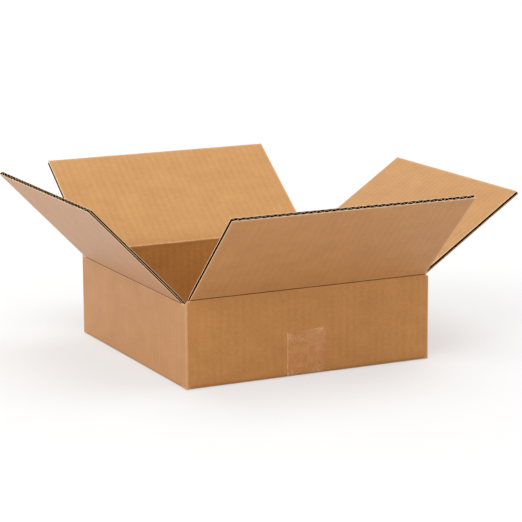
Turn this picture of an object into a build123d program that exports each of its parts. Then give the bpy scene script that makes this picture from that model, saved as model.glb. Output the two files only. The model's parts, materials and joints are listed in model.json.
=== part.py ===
"""Shallow square shipping box of single-wall corrugated board, its four top flaps standing open.

The box is a regular slotted carton. One scored sheet makes the four walls and the bottom flaps,
closed by a glue tab inside the back right corner. The bottom flaps are folded shut and taped,
and each top flap turns on its own score. The origin is the middle of the underside, +Z is up,
the front wall faces -Y and the left wall faces -X. All lengths are in millimetres.
"""
import math
import os

from build123d import *

# Board
board = 3.8
liner = 0.35
medium = 0.3
flute_pitch = 7.9
flank_slope = 45.0

# Box
box_length = 262.0
box_width = 262.0
crease_height = 86.0
inner_fold_radius = 0.4
seam_gap = 1.0
layer_clearance = 0.3
climb_angle = 50.0

# Slots between the flaps, measured in from the outer face of the box
front_slot_inset = 4.5
side_slot_inset = 10.0
slot_clearance = 0.3
corner_rise = 3.0
foot_lift = 0.6

# Scores
score_reach = 4.4
fold_gap = 0.2
crushed_length = 2.0
slot_hollow_depth = 16.0

# Glue tab
tab_board = 2.8
tab_width = 35.0
tab_slope = 12.0
tab_clearance = 2.0

# Tape
tape_width = 50.0
tape_thickness = 0.12
tape_tail = 48.0

# How far each top flap leans out from upright
front_lean = 46.0
back_lean = 54.0
left_lean = 44.0
right_lean = 56.0

# Levels and spans that follow from the sizes above
half_length = box_length / 2
half_width = box_width / 2
fold_radius = board + inner_fold_radius
front_crease = crease_height
side_crease = front_crease - board - layer_clearance
inner_layer = board + layer_clearance
floor_level = inner_layer + board
wall_start = floor_level + fold_radius
front_flap_width = box_length - 2 * front_slot_inset
side_flap_width = box_width - 2 * side_slot_inset
front_flap_length = (box_width - seam_gap) / 2
side_flap_length = (box_length - seam_gap) / 2

# One hollow of a flute, a triangle with a blunted crest between the wave of the medium and a liner
flank = math.radians(flank_slope)
hollow_height = board - 2 * liner - medium
hollow_reach = flute_pitch / 4 + hollow_height / (2 * math.tan(flank)) - medium / (2 * math.sin(flank))
crest_radius = (hollow_reach * math.sin(flank) - hollow_height * math.cos(flank)) / (1 - math.cos(flank))
shoulder_x = crest_radius * math.sin(flank)
shoulder_y = hollow_height - crest_radius * (1 - math.cos(flank))
crest_x = crest_radius * math.tan(flank / 4)


def flute_row(width):
    """Sketch the hollows of a board edge this wide: X along the edge, Y in through the board."""
    steps = math.ceil(width / 2 / flute_pitch) + 1
    crests = range(-steps, steps + 1)
    with BuildSketch(Plane.XY) as hollow:
        with BuildLine():
            Polyline(
                (-hollow_reach, 0),
                (hollow_reach, 0),
                (shoulder_x, shoulder_y),
                (crest_x, hollow_height),
                (-crest_x, hollow_height),
                (-shoulder_x, shoulder_y),
                close=True,
            )
        make_face()
    with BuildSketch(Plane.XY) as row:
        with Locations(*[(crest * flute_pitch, liner) for crest in crests]):
            add(hollow.sketch)
        with Locations(*[((crest + 0.5) * flute_pitch, board - liner) for crest in crests]):
            add(hollow.sketch, rotation=180)
        with Locations((0, board / 2)):
            Rectangle(width, board, mode=Mode.INTERSECT)
    return row.sketch


def row_ends(width, start, end):
    """Keep only the hollows of a row that lie between two distances from its middle."""
    with BuildSketch(Plane.XY) as ends:
        add(flute_row(width))
        with Locations((0, board / 2)):
            Rectangle(2 * start, board, mode=Mode.SUBTRACT)
            Rectangle(2 * end, board, mode=Mode.INTERSECT)
    return ends.sketch


def mitre_profile(side):
    """Sketch what a score takes off a board end: X in from the outer face, Y away from the score."""
    with BuildSketch(Plane.XY) as mitre:
        with BuildLine():
            Polyline(
                (0, 0),
                (0, side * fold_gap / 2),
                (board, side * score_reach),
                (board, 0),
                close=True,
            )
        make_face()
    return mitre.sketch


def wall_plan():
    """Sketch the plan of the four walls, with a rounded fold at each corner."""
    with BuildSketch(Plane.XY) as ring:
        RectangleRounded(box_length, box_width, fold_radius)
        RectangleRounded(
            box_length - 2 * board,
            box_width - 2 * board,
            inner_fold_radius,
            mode=Mode.SUBTRACT,
        )
    return ring.sketch


def outer_fold_profile(half_span):
    """Sketch a wall's foot and the outer bottom flap that it turns into: X outwards, Y up."""
    with BuildSketch(Plane.XY) as fold:
        with BuildLine():
            FilletPolyline(
                (half_span, wall_start),
                (half_span, 0),
                (seam_gap / 2, 0),
                radius=fold_radius,
            )
            offset(amount=board, side=Side.RIGHT)
        make_face()
    return fold.sketch


def inner_fold_profile(half_span):
    """Sketch a wall's foot and its inner bottom flap, which climbs onto the outer pair."""
    with BuildSketch(Plane.XY) as fold:
        with BuildLine():
            Line((half_span, wall_start), (half_span, fold_radius))
            heel = CenterArc((half_span - fold_radius, fold_radius), fold_radius, 0, -90 - climb_angle)
            rise = (inner_layer - (heel @ 1).Y) / math.sin(math.radians(climb_angle))
            ramp = PolarLine(heel @ 1, rise, 180 - climb_angle)
            Line(ramp @ 1, (seam_gap / 2, inner_layer))
            offset(amount=board, side=Side.RIGHT)
        make_face()
    return fold.sketch


def hinge_plane(outward, reach, height, lean):
    """Place a score's plane: X along the score, Y in through the board, Z towards the flap's free edge."""
    up = Vector(0, 0, 1)
    tilt = math.radians(lean)
    return Plane(
        origin=outward * reach + up * height,
        x_dir=up.cross(outward),
        z_dir=outward * math.sin(tilt) + up * math.cos(tilt),
    )


def across(plane):
    """Look along a score: X in through the board and Y towards the flap's free edge."""
    return Plane(origin=plane.origin, x_dir=plane.y_dir, z_dir=plane.x_dir)


def top_flap(label, hinge, width, length):
    """Build and write one top flap: its board, its mitred score and its open flutes."""
    with BuildPart() as flap:
        with BuildSketch(hinge):
            with Locations((0, board / 2)):
                Rectangle(width, board)
        extrude(amount=length)
        with BuildSketch(across(hinge)):
            add(mitre_profile(1))
        extrude(amount=width, both=True, mode=Mode.SUBTRACT)
        with BuildSketch(hinge.offset(score_reach + crushed_length)):
            add(flute_row(width))
        extrude(amount=length, mode=Mode.SUBTRACT)
    flap.part.label = label
    export_step(flap.part, f"parts/{label}.step")
    return flap.part


os.makedirs("parts", exist_ok=True)

front = Vector(0, -1, 0)
back = Vector(0, 1, 0)
left = Vector(-1, 0, 0)
right = Vector(1, 0, 0)

front_hinge = hinge_plane(front, half_width, front_crease, front_lean)
back_hinge = hinge_plane(back, half_width, front_crease, back_lean)
left_hinge = hinge_plane(left, half_length, side_crease, left_lean)
right_hinge = hinge_plane(right, half_length, side_crease, right_lean)

front_flap = top_flap("front_flap", front_hinge, front_flap_width, front_flap_length)
back_flap = top_flap("back_flap", back_hinge, front_flap_width, front_flap_length)
left_flap = top_flap("left_flap", left_hinge, side_flap_width, side_flap_length)
right_flap = top_flap("right_flap", right_hinge, side_flap_width, side_flap_length)

# The tape lies along the bottom seam and turns up the front and back walls
with BuildPart() as bottom_tape:
    with BuildSketch(Plane.YZ):
        with Locations((0, tape_tail)):
            RectangleRounded(box_width + 2 * tape_thickness, 2 * tape_tail, fold_radius)
            RectangleRounded(box_width, 2 * (tape_tail - tape_thickness), fold_radius, mode=Mode.SUBTRACT)
        with Locations((0, 2 * tape_tail)):
            Rectangle(2 * box_width, 2 * tape_tail, mode=Mode.SUBTRACT)
    extrude(amount=tape_width / 2, both=True)

bottom_tape.part.label = "bottom_tape"
export_step(bottom_tape.part, "parts/bottom_tape.step")

slot_start = side_flap_width / 2 + slot_clearance
post_start = half_width - board
flute_end = half_length - board - score_reach
tab_top = side_crease - board - tab_clearance
tab_foot = floor_level + tab_clearance
tab_drop = tab_width * math.tan(math.radians(tab_slope))

with BuildPart() as box_body:
    # Four walls, the front and back ones standing one board higher than the side ones
    with BuildSketch(Plane.XY.offset(wall_start)):
        add(wall_plan())
    extrude(amount=side_crease - wall_start)
    with BuildSketch(Plane.XY.offset(side_crease)):
        add(wall_plan())
        Rectangle(box_length, 2 * post_start, mode=Mode.SUBTRACT)
    extrude(amount=front_crease - side_crease)

    # Feet of the corner folds, left between the slots of the bottom flaps
    with BuildSketch(Plane.XY.offset(foot_lift)):
        add(wall_plan())
        Rectangle(box_length, side_flap_width, mode=Mode.SUBTRACT)
        Rectangle(front_flap_width, box_width, mode=Mode.SUBTRACT)
    extrude(amount=wall_start - foot_lift)

    # Left and right bottom flaps outside, meeting at the taped seam
    with BuildSketch(Plane.XZ):
        add(outer_fold_profile(half_length))
        mirror(about=Plane.YZ)
    extrude(amount=side_flap_width / 2, both=True)
    with BuildSketch(Plane.YZ.offset(-flute_end)):
        add(row_ends(side_flap_width, side_flap_width / 2 - flute_pitch / 2, side_flap_width / 2))
    extrude(amount=2 * flute_end, mode=Mode.SUBTRACT)

    # Front and back bottom flaps inside, lying on the outer pair
    with BuildSketch(Plane.YZ):
        add(inner_fold_profile(half_width))
        mirror(about=Plane.YZ)
    extrude(amount=front_flap_width / 2, both=True)

    # Slot floors that rise from the side walls to the corner folds, with their cut flutes
    with BuildSketch(Plane.YZ.offset(half_length), Plane.YZ.offset(board - half_length)):
        with BuildLine():
            Polyline(
                (slot_start, side_crease),
                (post_start, side_crease),
                (post_start, side_crease + corner_rise),
                close=True,
            )
        make_face()
        mirror(about=Plane.YZ)
    extrude(amount=-board)
    for side in (left, right):
        with BuildSketch(hinge_plane(side, half_length, side_crease + corner_rise, 0)):
            add(row_ends(box_width, slot_start, post_start - liner))
        extrude(amount=-slot_hollow_depth, mode=Mode.SUBTRACT)

    # Scores along the tops of the walls
    for side, reach, height, width in (
        (front, half_width, front_crease, front_flap_width),
        (back, half_width, front_crease, front_flap_width),
        (left, half_length, side_crease, side_flap_width),
        (right, half_length, side_crease, side_flap_width),
    ):
        with BuildSketch(across(hinge_plane(side, reach, height, 0))):
            add(mitre_profile(-1))
        extrude(amount=width / 2 + slot_clearance, both=True, mode=Mode.SUBTRACT)

    # Glue tab from the back wall, lying against the inside of the right wall
    with BuildSketch(Plane.YZ.offset(half_length - board)):
        with BuildLine():
            Polyline(
                (post_start, tab_foot),
                (post_start, tab_top),
                (post_start - tab_width, tab_top - tab_drop),
                (post_start - tab_width, tab_foot + tab_drop),
                close=True,
            )
        make_face()
    extrude(amount=-tab_board)

    # The tape is pressed flush into the underside
    add(bottom_tape.part, mode=Mode.SUBTRACT)

box_body.part.label = "box_body"
export_step(box_body.part, "parts/box_body.step")
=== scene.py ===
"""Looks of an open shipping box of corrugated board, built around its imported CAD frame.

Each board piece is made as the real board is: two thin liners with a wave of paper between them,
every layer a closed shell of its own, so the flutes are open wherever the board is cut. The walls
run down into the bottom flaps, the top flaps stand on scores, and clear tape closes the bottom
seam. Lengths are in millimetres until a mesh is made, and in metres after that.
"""

import json
import logging
import math
from collections.abc import Sequence
from dataclasses import dataclass, field, replace
from enum import Enum
from functools import cached_property

import bpy
import numpy as np
import numpy.typing as npt
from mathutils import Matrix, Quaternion, Vector

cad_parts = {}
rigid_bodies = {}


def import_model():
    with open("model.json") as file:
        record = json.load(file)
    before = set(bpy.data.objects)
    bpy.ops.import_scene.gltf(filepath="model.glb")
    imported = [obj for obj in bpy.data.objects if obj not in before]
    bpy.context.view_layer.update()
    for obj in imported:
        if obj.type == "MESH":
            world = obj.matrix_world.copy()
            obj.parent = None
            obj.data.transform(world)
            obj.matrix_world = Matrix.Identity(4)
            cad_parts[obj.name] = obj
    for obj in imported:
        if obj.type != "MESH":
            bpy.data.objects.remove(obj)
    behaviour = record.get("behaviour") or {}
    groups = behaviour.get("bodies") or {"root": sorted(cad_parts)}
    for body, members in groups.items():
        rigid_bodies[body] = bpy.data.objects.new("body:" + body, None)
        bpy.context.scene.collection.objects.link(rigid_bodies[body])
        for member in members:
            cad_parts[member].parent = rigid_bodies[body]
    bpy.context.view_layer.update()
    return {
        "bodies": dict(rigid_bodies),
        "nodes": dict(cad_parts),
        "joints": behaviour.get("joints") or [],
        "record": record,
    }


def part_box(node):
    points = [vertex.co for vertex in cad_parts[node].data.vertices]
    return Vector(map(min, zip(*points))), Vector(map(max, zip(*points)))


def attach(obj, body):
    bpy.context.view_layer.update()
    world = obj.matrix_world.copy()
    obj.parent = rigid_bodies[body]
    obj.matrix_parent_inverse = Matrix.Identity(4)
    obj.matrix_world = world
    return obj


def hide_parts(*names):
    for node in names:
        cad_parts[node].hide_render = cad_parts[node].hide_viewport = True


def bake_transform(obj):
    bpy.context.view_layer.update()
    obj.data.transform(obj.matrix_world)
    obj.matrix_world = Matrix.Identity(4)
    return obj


Grid = npt.NDArray[np.float64]
Colour = tuple[float, float, float, float]
Socket = bpy.types.NodeSocket
Inputs = dict[str | int, object]

log = logging.getLogger("shipping_box")

METRES = 0.001
UP = np.array([0.0, 0.0, 1.0])
SHARP_EDGE = math.radians(40.0)
WAVED_MARK = 2.0  # in the wear attribute, on the waved paper alone; on a liner it holds 1 at most


class Surface(Enum):
    """Which finish a face of the board takes; the value is its place among a piece's materials."""

    OUTSIDE = 0
    INSIDE = 1
    CUT = 2
    # painted shade: the waved paper and the liners' hidden faces, near black for the shade in the flutes
    FLUTE_SHADE = 3


class Layer(Enum):
    """Which layers of the board a grid is laid out for; the waved paper takes the finer one."""

    LINERS = 0
    MEDIUM = 1


class Seed(Enum):
    """Which random numbers an uneven face or edge draws."""

    OUTER_FACE = 1
    INNER_FACE = 2
    TAB_FACE = 4
    FREE_EDGE = 5
    TAPE_SIDE = 21
    TAPE_SIDE_FINE = 22
    TAPE_END = 23
    TAPE_END_FINE = 24
    TAPE_RIDGE = 25
    TAPE_RIDGE_FINE = 26
    TAPE_AIR = 27


Wave = tuple[float, tuple[float, float], Seed]


# Working out shapes.


def eased(value: Grid, low: float, high: float) -> Grid:
    """Rise from 0 at low to 1 at high along 3t² - 2t³.

    Args:
        value: Where the rise is read.
        low: Where the rise starts.
        high: Where it ends; below low, the rise runs the other way.

    Returns:
        The share at each value, from 0 to 1.
    """
    share = np.clip((value - low) / (high - low), 0.0, 1.0)
    return share * share * (3 - 2 * share)


def uneven(x: Grid, y: Grid, *waves: Wave) -> Grid:
    """Give a smooth random height over a plane.

    For each wave, a lattice of rectangles has one random number from -1 to 1 at each corner. The
    height in a rectangle is its four corners' numbers, weighted by eased distance along both sides,
    times the wave's strength, and the waves are added up.

    Args:
        x: Places along the lattice's first direction.
        y: Places along its second direction.
        waves: The strength, the sides of one rectangle and the seed of each.

    Returns:
        The height at each place.
    """
    size = 97
    total = 0.0
    for strength, cell, seed in waves:
        corners = np.random.default_rng(seed.value).uniform(-1, 1, (size, size))
        across, along = np.broadcast_arrays(x / cell[0], y / cell[1])
        column, row = np.floor(across).astype(int), np.floor(along).astype(int)
        right, up = eased(across - column, 0, 1), eased(along - row, 0, 1)
        low, high = (
            corners[line % size, column % size] * (1 - right)
            + corners[line % size, (column + 1) % size] * right
            for line in (row, row + 1)
        )
        total = total + strength * (low * (1 - up) + high * up)
    return total


def rows_between(knots: Sequence[float], counts: Sequence[int]) -> Grid:
    """Divide each stretch between two knots into equal steps.

    Args:
        knots: Where the stretches meet, in order.
        counts: How many steps each stretch has.

    Returns:
        Every row from the first knot to the last.
    """
    stretches = zip(knots, knots[1:], counts)
    parts = [np.linspace(start, end, count, endpoint=False) for start, end, count in stretches]
    return np.append(np.concatenate(parts), knots[-1])


def height_shares() -> Grid:
    """Give shares of an upright piece's height, closer together at its two cut ends."""
    return rows_between((0, 0.04, 0.96, 1), (3, 6, 3))


def link(name: str, data: bpy.types.ID) -> bpy.types.Object:
    """Make an object, and link it to the scene.

    Args:
        name: Its name.
        data: The mesh, lamp or camera that it shows.

    Returns:
        The object.
    """
    made = bpy.data.objects.new(name, data)
    bpy.context.scene.collection.objects.link(made)
    return made


@dataclass(frozen=True)
class Mark:
    """A place that is pressed, rubbed or darkened, by its strength and how far it reaches."""

    strength: float
    reach: float

    def bell(self, distance: Grid) -> Grid:
        """Give the strength times e to the power of minus the square of distance over reach."""
        return self.strength * np.exp(-((distance / self.reach) ** 2))

    def fading(self, distance: Grid) -> Grid:
        """Give the strength times e to the power of minus distance over reach."""
        return self.strength * np.exp(-distance / self.reach)

    def sloping(self, distance: Grid) -> Grid:
        """Give the strength, eased down to nothing at the reach."""
        return self.strength * (1 - eased(distance, 0, self.reach))


@dataclass(frozen=True)
class Section:
    """The line that the board's outer face follows in a section: straight runs and round bends.

    Attributes:
        start: The first point.
        heading: The direction at the start, in degrees from the section's first axis.
        runs: The length of each run, and how far it turns in degrees, left turns being positive.
        steps: How many steps each run is followed in.
    """

    start: tuple[float, float]
    heading: float
    runs: tuple[tuple[float, float], ...]
    steps: int = 48

    @property
    def length(self) -> float:
        """The whole length of the line."""
        return sum(length for length, _ in self.runs)

    @property
    def marks(self) -> Grid:
        """Where each run ends along the line."""
        return np.cumsum([length for length, _ in self.runs])

    @cached_property
    def samples(self) -> tuple[Grid, Grid, Grid, Grid]:
        """Follow the line: its points are the running sum of short chords.

        Each run is cut into equal steps. A step's chord points along the heading half way through
        it, and is as long as the step times sin(h)/h, with h half its turn.

        Returns:
            Distance, first coordinate, second coordinate and heading (radians) at each step.
        """
        step = np.repeat([length / self.steps for length, _ in self.runs], self.steps)
        turn = np.radians(np.repeat([turned / self.steps for _, turned in self.runs], self.steps))
        heading = math.radians(self.heading) + np.concatenate([[0.0], np.cumsum(turn)])
        middle = heading[:-1] + turn / 2
        chord = step * np.sinc(turn / (2 * math.pi))
        first = self.start[0] + np.concatenate([[0.0], np.cumsum(chord * np.cos(middle))])
        second = self.start[1] + np.concatenate([[0.0], np.cumsum(chord * np.sin(middle))])
        return np.concatenate([[0.0], np.cumsum(step)]), first, second, heading

    def at(self, distance: Grid) -> tuple[Grid, Grid, Grid]:
        """Give the first and second coordinate and the heading, this far along the line."""
        along, *values = self.samples
        return tuple(np.interp(distance, along, value) for value in values)

    def offset(self, distance: Grid, depth: Grid) -> tuple[Grid, Grid]:
        """Find points in a section by distance along the line and depth to the right of it.

        Args:
            distance: How far along the line.
            depth: How deep below the outer face.

        Returns:
            The section's first and second coordinates.
        """
        first, second, heading = self.at(distance)
        return first + depth * np.sin(heading), second - depth * np.cos(heading)


@dataclass(frozen=True)
class Sheet:
    """Board that follows a section and runs straight across it.

    Attributes:
        section: The section.
        first: The direction of its first axis.
        second: The direction of its second axis.
        beside: The direction across it.
    """

    section: Section
    first: Grid
    second: Grid
    beside: Grid

    def points(self, distance: Grid, across: Grid, depth: Grid) -> Grid:
        """Place grid points in the box: the section's point on its two axes, plus a distance beside.

        Args:
            distance: How far along the section.
            across: How far beside it.
            depth: How deep below the outer face.

        Returns:
            The points, with x, y and z on the last axis.
        """
        one, two = self.section.offset(distance, depth)
        return (
            one[..., None] * self.first
            + two[..., None] * self.second
            + (across + 0 * one)[..., None] * self.beside
        )


class PieceMesh:
    """Gathers closed shells and makes them one mesh object."""

    def __init__(self) -> None:
        """Start with no shells."""
        self.points: list[Grid] = []
        self.faces: list[npt.NDArray[np.int64]] = []
        self.surfaces: list[npt.NDArray[np.int64]] = []
        self.sheet: list[Grid] = []
        self.wear: list[Grid] = []
        self.count = 0

    def add(
        self,
        faces: tuple[Grid, Grid],
        sheet: tuple[Grid, Grid],
        wear: Grid,
        surfaces: tuple[Surface, Surface, Surface],
    ) -> None:
        """Add the shell that fills the room between two grids of points.

        Each cell of a grid is one face. A row of faces along the grids' rim closes the shell, and
        all faces are turned over together if the volume they close comes out negative.

        Args:
            faces: The points of the lower and the upper grid.
            sheet: Where the points of both grids lie on the flat sheet, with depth.
            wear: Each point's press and painted shade, its rub and painted highlight, and its crest, painted
                lighter.
            surfaces: The finish of the lower grid, the upper grid and the rim.
        """
        rows, columns = faces[0].shape[:2]
        size = rows * columns
        index = np.arange(size).reshape(rows, columns)
        cells = np.stack([index[:-1, :-1], index[1:, :-1], index[1:, 1:], index[:-1, 1:]], -1).reshape(-1, 4)
        border = np.concatenate([index[0, :-1], index[:-1, -1], index[-1, :0:-1], index[:0:-1, 0]])
        onward = np.roll(border, -1)
        rim = np.stack([border, border + size, onward + size, onward], -1)
        quads = np.concatenate([cells[:, ::-1], cells + size, rim])
        points = np.concatenate([grid.reshape(-1, 3) for grid in faces])
        corner = points[quads]
        normal = np.cross(corner[:, 2] - corner[:, 0], corner[:, 3] - corner[:, 1])
        if np.einsum("ij,ij->", corner.mean(1), normal) < 0:
            quads = quads[:, ::-1]
        kinds = [surface.value for surface in surfaces]
        self.points.append(points * METRES)
        self.faces.append(quads + self.count)
        self.surfaces.append(np.repeat(kinds, [len(cells), len(cells), len(rim)]))
        self.sheet.append(np.concatenate([grid.reshape(-1, 3) for grid in sheet]) * METRES)
        self.wear.append(np.tile(wear.reshape(-1, 3), (2, 1)))
        self.count += len(points)

    def build(self, name: str, materials: Sequence[bpy.types.Material]) -> bpy.types.Object:
        """Make the mesh object, in metres.

        Args:
            name: The piece's name.
            materials: Its materials, in the order of the surfaces' values.

        Returns:
            The object, linked to the scene.
        """
        faces = np.concatenate(self.faces).astype(np.int32)
        mesh = bpy.data.meshes.new(name)
        mesh.vertices.add(self.count)
        mesh.vertices.foreach_set("co", np.concatenate(self.points).astype(np.float32).ravel())
        mesh.loops.add(faces.size)
        mesh.loops.foreach_set("vertex_index", faces.ravel())
        mesh.polygons.add(len(faces))
        mesh.polygons.foreach_set("loop_start", np.arange(0, faces.size, 4, dtype=np.int32))
        mesh.update(calc_edges=True)
        mesh.polygons.foreach_set("material_index", np.concatenate(self.surfaces).astype(np.int32))
        for label, values in (("sheet", self.sheet), ("wear", self.wear)):
            layer = mesh.attributes.new(label, "FLOAT_VECTOR", "POINT")
            layer.data.foreach_set("vector", np.concatenate(values).astype(np.float32).ravel())
        mesh.shade_smooth()
        mesh.set_sharp_from_angle(angle=SHARP_EDGE)
        mesh.validate()
        for material in materials:
            mesh.materials.append(material)
        return link(name, mesh)


# Finishes.


@dataclass(frozen=True)
class Grain:
    """Noise whose cells differ by direction.

    Attributes:
        cells: Cells per metre across the flutes, along them and through the board.
        detail: How many finer octaves are added.
        shade: How much it shades the stock.
        height: How much it stands out.
        gloss: How much it changes the roughness.
    """

    cells: tuple[float, float, float]
    detail: float
    shade: float = 0.0
    height: float = 0.0
    gloss: float = 0.0


class Nodes:
    """Adds shader nodes to one tree and links them."""

    def __init__(self, owner: bpy.types.Material | bpy.types.World) -> None:
        """Start from an empty tree.

        Args:
            owner: The material or world that the tree belongs to.
        """
        owner.use_nodes = True
        self.tree = owner.node_tree
        self.tree.nodes.clear()

    def add(self, kind: str, inputs: Inputs, **settings: object) -> bpy.types.Node:
        """Add a node.

        Args:
            kind: The node's type, without its ShaderNode prefix.
            inputs: A value, or the socket to link, for each named or numbered input.
            settings: The node's own settings.

        Returns:
            The node.
        """
        node = self.tree.nodes.new("ShaderNode" + kind)
        for name, value in settings.items():
            setattr(node, name, value)
        for name, value in inputs.items():
            if isinstance(value, Socket):
                self.tree.links.new(value, node.inputs[name])
            else:
                node.inputs[name].default_value = value
        return node

    @cached_property
    def sheet(self) -> Socket:
        """The place on the flat sheet, in metres, with depth."""
        return self.add("Attribute", {}, attribute_name="sheet").outputs["Vector"]

    @cached_property
    def wear(self) -> Sequence[Socket]:
        """The place's press and painted shade, its rub and painted highlight, and how far it is on a flute's
        crest.
        """
        stored = self.add("Attribute", {}, attribute_name="wear").outputs["Vector"]
        return self.add("SeparateXYZ", {0: stored}).outputs

    def math(self, operation: str, *values: object, clamp: bool = False) -> Socket:
        """Work out one number from others."""
        return self.add("Math", dict(enumerate(values)), operation=operation, use_clamp=clamp).outputs[0]

    def mix(self, share: object, first: object, second: object) -> Socket:
        """Mix two colours; the node's colour sockets share their names with others, so they go by place."""
        return self.add("Mix", {0: share, 6: first, 7: second}, data_type="RGBA").outputs[2]

    def noise(self, grain: Grain) -> Socket:
        """Give noise over the sheet, about 0.5 on average."""
        scaled = self.add("Mapping", {"Vector": self.sheet, "Scale": grain.cells}).outputs[0]
        return self.add("TexNoise", {"Vector": scaled, "Scale": 1.0, "Detail": grain.detail}).outputs[0]

    def above(self, value: object, span: tuple[float, float]) -> Socket:
        """Give the share by which a value has passed from the start of a span to its end."""
        inputs = {"Value": value, "From Min": span[0], "From Max": span[1]}
        return self.add("MapRange", inputs, interpolation_type="SMOOTHSTEP").outputs[0]

    def blended(self, *terms: tuple[Socket, float]) -> Socket:
        """Add up how far each value lies from 0.5, times its weight, around 0.5.

        Args:
            terms: The values, with their weights.

        Returns:
            The sum.
        """
        total: object = 0.5 - sum(weight for _, weight in terms) / 2
        for value, weight in terms:
            if weight:
                total = self.math("MULTIPLY_ADD", value, weight, total)
        return total

    def bump(self, height: Socket, relief: float) -> Socket:
        """Bend the normal by a height, of which 1 is this many metres."""
        return self.add("Bump", {"Height": height, "Strength": 1.0, "Distance": relief}).outputs[0]


@dataclass(frozen=True)
class Finish:
    """A material that reads a piece's own sheet and wear attributes."""

    name: str

    def inputs(self, nodes: Nodes) -> Inputs:
        """Give a value or a socket for each input of the shader."""
        raise NotImplementedError

    def material(self) -> bpy.types.Material:
        """Build the material.

        Returns:
            The material.
        """
        made = bpy.data.materials.new(self.name)
        nodes = Nodes(made)
        shader = nodes.add("BsdfPrincipled", self.inputs(nodes))
        nodes.add("OutputMaterial", {0: shader.outputs[0]})
        return made


@dataclass(frozen=True)
class LinerFinish(Finish):
    """Plain brown liner: cloudy stock, long fibres across the flutes, flecks, pressed and rubbed places.

    It is dark where the stock is dense and light where it is thin, lighter over the crests of the
    flutes as painted light, and mirrors its tint when seen square on. Its pressed places carry
    painted shade and its rubbed places a painted highlight as well. The heights of its grains are
    shares of its relief, in metres. Flecks are the hairs whose noise passes a span.
    """

    dark: Colour
    light: Colour
    # painted light: how much lighter the liner is over the flute crests, which stand out and catch the light
    crest: float = 0.1
    fleck: Colour = (0.2, 0.075, 0.012, 1)
    # dark colour laid on pressed board and on painted shade: the score's groove and the foot's contact
    # shadow; also the dark marks at the upright folds
    pressed: Colour = (0.19, 0.05, 0.0, 1)
    # pale colour laid on rubbed fibres and on the painted highlight along the inner ridge over a score
    rubbed: Colour = (0.95, 0.68, 0.43, 1)
    roughness: float = 0.45
    specular: float = 0.65
    tint: Colour = (1.0, 0.7, 0.42, 1)
    sheen: float = 0.1
    relief: float = 0.00002
    cloud: Grain = Grain((38, 55, 40), 2, shade=0.7)
    mottle: Grain = Grain((260, 330, 200), 3, shade=0.7, height=0.8, gloss=0.2)
    streak: Grain = Grain((330, 16, 240), 2, shade=0.3)
    fibre: Grain = Grain((420, 2400, 900), 4, shade=0.7, height=1.0, gloss=0.2)
    hair: Grain = Grain((700, 3600, 1500), 2, height=0.5)
    flecked: tuple[float, float] = (0.62, 0.7)
    fleck_share: float = 0.5
    lifting: float = 1.6

    def inputs(self, nodes: Nodes) -> Inputs:
        """Shade the stock by its grains and by painted light over the flute crests, then lay on flecks,
        raised fibres with a painted highlight and pressed places with painted shade.

        Args:
            nodes: The material's nodes.

        Returns:
            A value or a socket for each input.
        """
        pressed, rubbed, crest = nodes.wear
        grains = (self.cloud, self.mottle, self.streak, self.fibre, self.hair)
        noises = [nodes.noise(grain) for grain in grains]
        fibre, hair = noises[3:]
        # the grains' tone, plus painted light over the flute crests
        shade = nodes.blended(*zip(noises, [grain.shade for grain in grains]), (crest, self.crest))
        height = nodes.blended(*zip(noises, [grain.height for grain in grains]))
        gloss = nodes.blended(*zip(noises, [grain.gloss for grain in grains]))
        flecks = nodes.math("MULTIPLY", nodes.above(hair, self.flecked), self.fleck_share)
        lifted = nodes.math("MULTIPLY", rubbed, nodes.blended((fibre, self.lifting)), clamp=True)
        colour = nodes.mix(nodes.math("ADD", shade, 0.0, clamp=True), self.dark, self.light)
        # flecks, then rubbed fibres with the painted ridge highlight, then pressed board with the painted
        # shade
        for share, laid_on in ((flecks, self.fleck), (lifted, self.rubbed), (pressed, self.pressed)):
            colour = nodes.mix(share, colour, laid_on)
        rough = nodes.math("ADD", gloss, self.roughness - 0.5)
        return {
            "Base Color": colour,
            "Roughness": nodes.math("MAXIMUM", rough, pressed),
            "Specular IOR Level": self.specular,
            "Specular Tint": self.tint,
            "Sheen Weight": self.sheen,
            "Normal": nodes.bump(height, self.relief),
        }


@dataclass(frozen=True)
class CutFinish(Finish):
    """The cut edge of a paper layer: pale torn fibres on a liner's darker core, or waved paper."""

    name: str = "cut_paper"
    core: Colour = (0.7, 0.45, 0.26, 1)
    torn: Colour = (0.95, 0.74, 0.53, 1)
    waved: Colour = (0.8, 0.5, 0.27, 1)
    roughness: float = 0.85
    relief: float = 0.00008
    tuft: Grain = Grain((1800, 1800, 5000), 3)
    lifted: tuple[float, float] = (0.35, 0.65)

    def inputs(self, nodes: Nodes) -> Inputs:
        """Mix the core with torn tufts, and give the waved paper its own colour.

        Args:
            nodes: The material's nodes.

        Returns:
            A value or a socket for each input.
        """
        tuft = nodes.noise(self.tuft)
        liner = nodes.mix(nodes.above(tuft, self.lifted), self.core, self.torn)
        is_waved = nodes.math("GREATER_THAN", nodes.wear[2], 0.75 * WAVED_MARK)
        return {
            "Base Color": nodes.mix(is_waved, liner, self.waved),
            "Roughness": self.roughness,
            "Normal": nodes.bump(tuft, self.relief),
        }


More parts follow.
